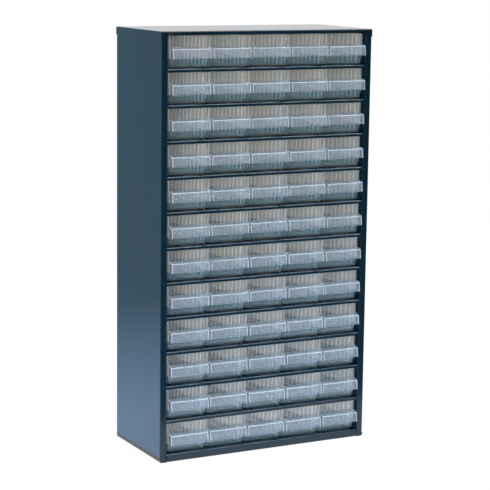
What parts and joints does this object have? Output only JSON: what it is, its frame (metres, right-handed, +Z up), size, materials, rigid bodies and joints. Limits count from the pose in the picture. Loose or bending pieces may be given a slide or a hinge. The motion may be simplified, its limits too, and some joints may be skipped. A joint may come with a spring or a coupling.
{
  "type": "parts bin cabinet",
  "caption": "Tall sheet-steel cabinet with rows of small clear plastic drawers that slide out on steel shelves, for sorting screws and other small parts.",
  "frame": {"origin": "middle of the footprint, pulls included, on the surface that the cabinet stands on", "axes": "+Z up, -Y towards the drawers' fronts, +X to the right as seen from the front"},
  "size_m": [0.306, 0.144, 0.552],
  "materials": {
    "painted_steel": "dark blue-grey gloss enamel on sheet steel",
    "clear_plastic": "clear moulded polystyrene, slightly smoky"
  },
  "bodies": {
    "cabinet": {"case_shell": "painted_steel", "top_cap": "painted_steel", "back_panel": "painted_steel", "shelves": "painted_steel"},
    "drawer_r01_c1": {"drawer_r01_c1": "clear_plastic"},
    "drawer_r01_c2": {"drawer_r01_c2": "clear_plastic"},
    "drawer_r01_c3": {"drawer_r01_c3": "clear_plastic"},
    "drawer_r01_c4": {"drawer_r01_c4": "clear_plastic"},
    "drawer_r01_c5": {"drawer_r01_c5": "clear_plastic"},
    "drawer_r02_c1": {"drawer_r02_c1": "clear_plastic"},
    "drawer_r02_c2": {"drawer_r02_c2": "clear_plastic"},
    "drawer_r02_c3": {"drawer_r02_c3": "clear_plastic"},
    "drawer_r02_c4": {"drawer_r02_c4": "clear_plastic"},
    "drawer_r02_c5": {"drawer_r02_c5": "clear_plastic"},
    "drawer_r03_c1": {"drawer_r03_c1": "clear_plastic"},
    "drawer_r03_c2": {"drawer_r03_c2": "clear_plastic"},
    "drawer_r03_c3": {"drawer_r03_c3": "clear_plastic"},
    "drawer_r03_c4": {"drawer_r03_c4": "clear_plastic"},
    "drawer_r03_c5": {"drawer_r03_c5": "clear_plastic"},
    "drawer_r04_c1": {"drawer_r04_c1": "clear_plastic"},
    "drawer_r04_c2": {"drawer_r04_c2": "clear_plastic"},
    "drawer_r04_c3": {"drawer_r04_c3": "clear_plastic"},
    "drawer_r04_c4": {"drawer_r04_c4": "clear_plastic"},
    "drawer_r04_c5": {"drawer_r04_c5": "clear_plastic"},
    "drawer_r05_c1": {"drawer_r05_c1": "clear_plastic"},
    "drawer_r05_c2": {"drawer_r05_c2": "clear_plastic"},
    "drawer_r05_c3": {"drawer_r05_c3": "clear_plastic"},
    "drawer_r05_c4": {"drawer_r05_c4": "clear_plastic"},
    "drawer_r05_c5": {"drawer_r05_c5": "clear_plastic"},
    "drawer_r06_c1": {"drawer_r06_c1": "clear_plastic"},
    "drawer_r06_c2": {"drawer_r06_c2": "clear_plastic"},
    "drawer_r06_c3": {"drawer_r06_c3": "clear_plastic"},
    "drawer_r06_c4": {"drawer_r06_c4": "clear_plastic"},
    "drawer_r06_c5": {"drawer_r06_c5": "clear_plastic"},
    "drawer_r07_c1": {"drawer_r07_c1": "clear_plastic"},
    "drawer_r07_c2": {"drawer_r07_c2": "clear_plastic"},
    "drawer_r07_c3": {"drawer_r07_c3": "clear_plastic"},
    "drawer_r07_c4": {"drawer_r07_c4": "clear_plastic"},
    "drawer_r07_c5": {"drawer_r07_c5": "clear_plastic"},
    "drawer_r08_c1": {"drawer_r08_c1": "clear_plastic"},
    "drawer_r08_c2": {"drawer_r08_c2": "clear_plastic"},
    "drawer_r08_c3": {"drawer_r08_c3": "clear_plastic"},
    "drawer_r08_c4": {"drawer_r08_c4": "clear_plastic"},
    "drawer_r08_c5": {"drawer_r08_c5": "clear_plastic"},
    "drawer_r09_c1": {"drawer_r09_c1": "clear_plastic"},
    "drawer_r09_c2": {"drawer_r09_c2": "clear_plastic"},
    "drawer_r09_c3": {"drawer_r09_c3": "clear_plastic"},
    "drawer_r09_c4": {"drawer_r09_c4": "clear_plastic"},
    "drawer_r09_c5": {"drawer_r09_c5": "clear_plastic"},
    "drawer_r10_c1": {"drawer_r10_c1": "clear_plastic"},
    "drawer_r10_c2": {"drawer_r10_c2": "clear_plastic"},
    "drawer_r10_c3": {"drawer_r10_c3": "clear_plastic"},
    "drawer_r10_c4": {"drawer_r10_c4": "clear_plastic"},
    "drawer_r10_c5": {"drawer_r10_c5": "clear_plastic"},
    "drawer_r11_c1": {"drawer_r11_c1": "clear_plastic"},
    "drawer_r11_c2": {"drawer_r11_c2": "clear_plastic"},
    "drawer_r11_c3": {"drawer_r11_c3": "clear_plastic"},
    "drawer_r11_c4": {"drawer_r11_c4": "clear_plastic"},
    "drawer_r11_c5": {"drawer_r11_c5": "clear_plastic"},
    "drawers_r12": {"drawers_r12": "clear_plastic"}
  },
  "joints": [
    {"name": "drawer_r01_c1_slide", "type": "slide", "parent": "cabinet", "child": "drawer_r01_c1", "axis": [0, -1, 0], "range_m": [0, 0.11]},
    {"name": "drawer_r01_c2_slide", "type": "slide", "parent": "cabinet", "child": "drawer_r01_c2", "axis": [0, -1, 0], "range_m": [0, 0.11]},
    {"name": "drawer_r01_c3_slide", "type": "slide", "parent": "cabinet", "child": "drawer_r01_c3", "axis": [0, -1, 0], "range_m": [0, 0.11]},
    {"name": "drawer_r01_c4_slide", "type": "slide", "parent": "cabinet", "child": "drawer_r01_c4", "axis": [0, -1, 0], "range_m": [0, 0.11]},
    {"name": "drawer_r01_c5_slide", "type": "slide", "parent": "cabinet", "child": "drawer_r01_c5", "axis": [0, -1, 0], "range_m": [0, 0.11]},
    {"name": "drawer_r02_c1_slide", "type": "slide", "parent": "cabinet", "child": "drawer_r02_c1", "axis": [0, -1, 0], "range_m": [0, 0.11]},
    {"name": "drawer_r02_c2_slide", "type": "slide", "parent": "cabinet", "child": "drawer_r02_c2", "axis": [0, -1, 0], "range_m": [0, 0.11]},
    {"name": "drawer_r02_c3_slide", "type": "slide", "parent": "cabinet", "child": "drawer_r02_c3", "axis": [0, -1, 0], "range_m": [0, 0.11]},
    {"name": "drawer_r02_c4_slide", "type": "slide", "parent": "cabinet", "child": "drawer_r02_c4", "axis": [0, -1, 0], "range_m": [0, 0.11]},
    {"name": "drawer_r02_c5_slide", "type": "slide", "parent": "cabinet", "child": "drawer_r02_c5", "axis": [0, -1, 0], "range_m": [0, 0.11]},
    {"name": "drawer_r03_c1_slide", "type": "slide", "parent": "cabinet", "child": "drawer_r03_c1", "axis": [0, -1, 0], "range_m": [0, 0.11]},
    {"name": "drawer_r03_c2_slide", "type": "slide", "parent": "cabinet", "child": "drawer_r03_c2", "axis": [0, -1, 0], "range_m": [0, 0.11]},
    {"name": "drawer_r03_c3_slide", "type": "slide", "parent": "cabinet", "child": "drawer_r03_c3", "axis": [0, -1, 0], "range_m": [0, 0.11]},
    {"name": "drawer_r03_c4_slide", "type": "slide", "parent": "cabinet", "child": "drawer_r03_c4", "axis": [0, -1, 0], "range_m": [0, 0.11]},
    {"name": "drawer_r03_c5_slide", "type": "slide", "parent": "cabinet", "child": "drawer_r03_c5", "axis": [0, -1, 0], "range_m": [0, 0.11]},
    {"name": "drawer_r04_c1_slide", "type": "slide", "parent": "cabinet", "child": "drawer_r04_c1", "axis": [0, -1, 0], "range_m": [0, 0.11]},
    {"name": "drawer_r04_c2_slide", "type": "slide", "parent": "cabinet", "child": "drawer_r04_c2", "axis": [0, -1, 0], "range_m": [0, 0.11]},
    {"name": "drawer_r04_c3_slide", "type": "slide", "parent": "cabinet", "child": "drawer_r04_c3", "axis": [0, -1, 0], "range_m": [0, 0.11]},
    {"name": "drawer_r04_c4_slide", "type": "slide", "parent": "cabinet", "child": "drawer_r04_c4", "axis": [0, -1, 0], "range_m": [0, 0.11]},
    {"name": "drawer_r04_c5_slide", "type": "slide", "parent": "cabinet", "child": "drawer_r04_c5", "axis": [0, -1, 0], "range_m": [0, 0.11]},
    {"name": "drawer_r05_c1_slide", "type": "slide", "parent": "cabinet", "child": "drawer_r05_c1", "axis": [0, -1, 0], "range_m": [0, 0.11]},
    {"name": "drawer_r05_c2_slide", "type": "slide", "parent": "cabinet", "child": "drawer_r05_c2", "axis": [0, -1, 0], "range_m": [0, 0.11]},
    {"name": "drawer_r05_c3_slide", "type": "slide", "parent": "cabinet", "child": "drawer_r05_c3", "axis": [0, -1, 0], "range_m": [0, 0.11]},
    {"name": "drawer_r05_c4_slide", "type": "slide", "parent": "cabinet", "child": "drawer_r05_c4", "axis": [0, -1, 0], "range_m": [0, 0.11]},
    {"name": "drawer_r05_c5_slide", "type": "slide", "parent": "cabinet", "child": "drawer_r05_c5", "axis": [0, -1, 0], "range_m": [0, 0.11]},
    {"name": "drawer_r06_c1_slide", "type": "slide", "parent": "cabinet", "child": "drawer_r06_c1", "axis": [0, -1, 0], "range_m": [0, 0.11]},
    {"name": "drawer_r06_c2_slide", "type": "slide", "parent": "cabinet", "child": "drawer_r06_c2", "axis": [0, -1, 0], "range_m": [0, 0.11]},
    {"name": "drawer_r06_c3_slide", "type": "slide", "parent": "cabinet", "child": "drawer_r06_c3", "axis": [0, -1, 0], "range_m": [0, 0.11]},
    {"name": "drawer_r06_c4_slide", "type": "slide", "parent": "cabinet", "child": "drawer_r06_c4", "axis": [0, -1, 0], "range_m": [0, 0.11]},
    {"name": "drawer_r06_c5_slide", "type": "slide", "parent": "cabinet", "child": "drawer_r06_c5", "axis": [0, -1, 0], "range_m": [0, 0.11]},
    {"name": "drawer_r07_c1_slide", "type": "slide", "parent": "cabinet", "child": "drawer_r07_c1", "axis": [0, -1, 0], "range_m": [0, 0.11]},
    {"name": "drawer_r07_c2_slide", "type": "slide", "parent": "cabinet", "child": "drawer_r07_c2", "axis": [0, -1, 0], "range_m": [0, 0.11]},
    {"name": "drawer_r07_c3_slide", "type": "slide", "parent": "cabinet", "child": "drawer_r07_c3", "axis": [0, -1, 0], "range_m": [0, 0.11]},
    {"name": "drawer_r07_c4_slide", "type": "slide", "parent": "cabinet", "child": "drawer_r07_c4", "axis": [0, -1, 0], "range_m": [0, 0.11]},
    {"name": "drawer_r07_c5_slide", "type": "slide", "parent": "cabinet", "child": "drawer_r07_c5", "axis": [0, -1, 0], "range_m": [0, 0.11]},
    {"name": "drawer_r08_c1_slide", "type": "slide", "parent": "cabinet", "child": "drawer_r08_c1", "axis": [0, -1, 0], "range_m": [0, 0.11]},
    {"name": "drawer_r08_c2_slide", "type": "slide", "parent": "cabinet", "child": "drawer_r08_c2", "axis": [0, -1, 0], "range_m": [0, 0.11]},
    {"name": "drawer_r08_c3_slide", "type": "slide", "parent": "cabinet", "child": "drawer_r08_c3", "axis": [0, -1, 0], "range_m": [0, 0.11]},
    {"name": "drawer_r08_c4_slide", "type": "slide", "parent": "cabinet", "child": "drawer_r08_c4", "axis": [0, -1, 0], "range_m": [0, 0.11]},
    {"name": "drawer_r08_c5_slide", "type": "slide", "parent": "cabinet", "child": "drawer_r08_c5", "axis": [0, -1, 0], "range_m": [0, 0.11]},
    {"name": "drawer_r09_c1_slide", "type": "slide", "parent": "cabinet", "child": "drawer_r09_c1", "axis": [0, -1, 0], "range_m": [0, 0.11]},
    {"name": "drawer_r09_c2_slide", "type": "slide", "parent": "cabinet", "child": "drawer_r09_c2", "axis": [0, -1, 0], "range_m": [0, 0.11]},
    {"name": "drawer_r09_c3_slide", "type": "slide", "parent": "cabinet", "child": "drawer_r09_c3", "axis": [0, -1, 0], "range_m": [0, 0.11]},
    {"name": "drawer_r09_c4_slide", "type": "slide", "parent": "cabinet", "child": "drawer_r09_c4", "axis": [0, -1, 0], "range_m": [0, 0.11]},
    {"name": "drawer_r09_c5_slide", "type": "slide", "parent": "cabinet", "child": "drawer_r09_c5", "axis": [0, -1, 0], "range_m": [0, 0.11]},
    {"name": "drawer_r10_c1_slide", "type": "slide", "parent": "cabinet", "child": "drawer_r10_c1", "axis": [0, -1, 0], "range_m": [0, 0.11]},
    {"name": "drawer_r10_c2_slide", "type": "slide", "parent": "cabinet", "child": "drawer_r10_c2", "axis": [0, -1, 0], "range_m": [0, 0.11]},
    {"name": "drawer_r10_c3_slide", "type": "slide", "parent": "cabinet", "child": "drawer_r10_c3", "axis": [0, -1, 0], "range_m": [0, 0.11]},
    {"name": "drawer_r10_c4_slide", "type": "slide", "parent": "cabinet", "child": "drawer_r10_c4", "axis": [0, -1, 0], "range_m": [0, 0.11]},
    {"name": "drawer_r10_c5_slide", "type": "slide", "parent": "cabinet", "child": "drawer_r10_c5", "axis": [0, -1, 0], "range_m": [0, 0.11]},
    {"name": "drawer_r11_c1_slide", "type": "slide", "parent": "cabinet", "child": "drawer_r11_c1", "axis": [0, -1, 0], "range_m": [0, 0.11]},
    {"name": "drawer_r11_c2_slide", "type": "slide", "parent": "cabinet", "child": "drawer_r11_c2", "axis": [0, -1, 0], "range_m": [0, 0.11]},
    {"name": "drawer_r11_c3_slide", "type": "slide", "parent": "cabinet", "child": "drawer_r11_c3", "axis": [0, -1, 0], "range_m": [0, 0.11]},
    {"name": "drawer_r11_c4_slide", "type": "slide", "parent": "cabinet", "child": "drawer_r11_c4", "axis": [0, -1, 0], "range_m": [0, 0.11]},
    {"name": "drawer_r11_c5_slide", "type": "slide", "parent": "cabinet", "child": "drawer_r11_c5", "axis": [0, -1, 0], "range_m": [0, 0.11]},
    {"name": "drawers_r12_slide", "type": "slide", "parent": "cabinet", "child": "drawers_r12", "axis": [0, -1, 0], "range_m": [0, 0.11]}
  ]
}
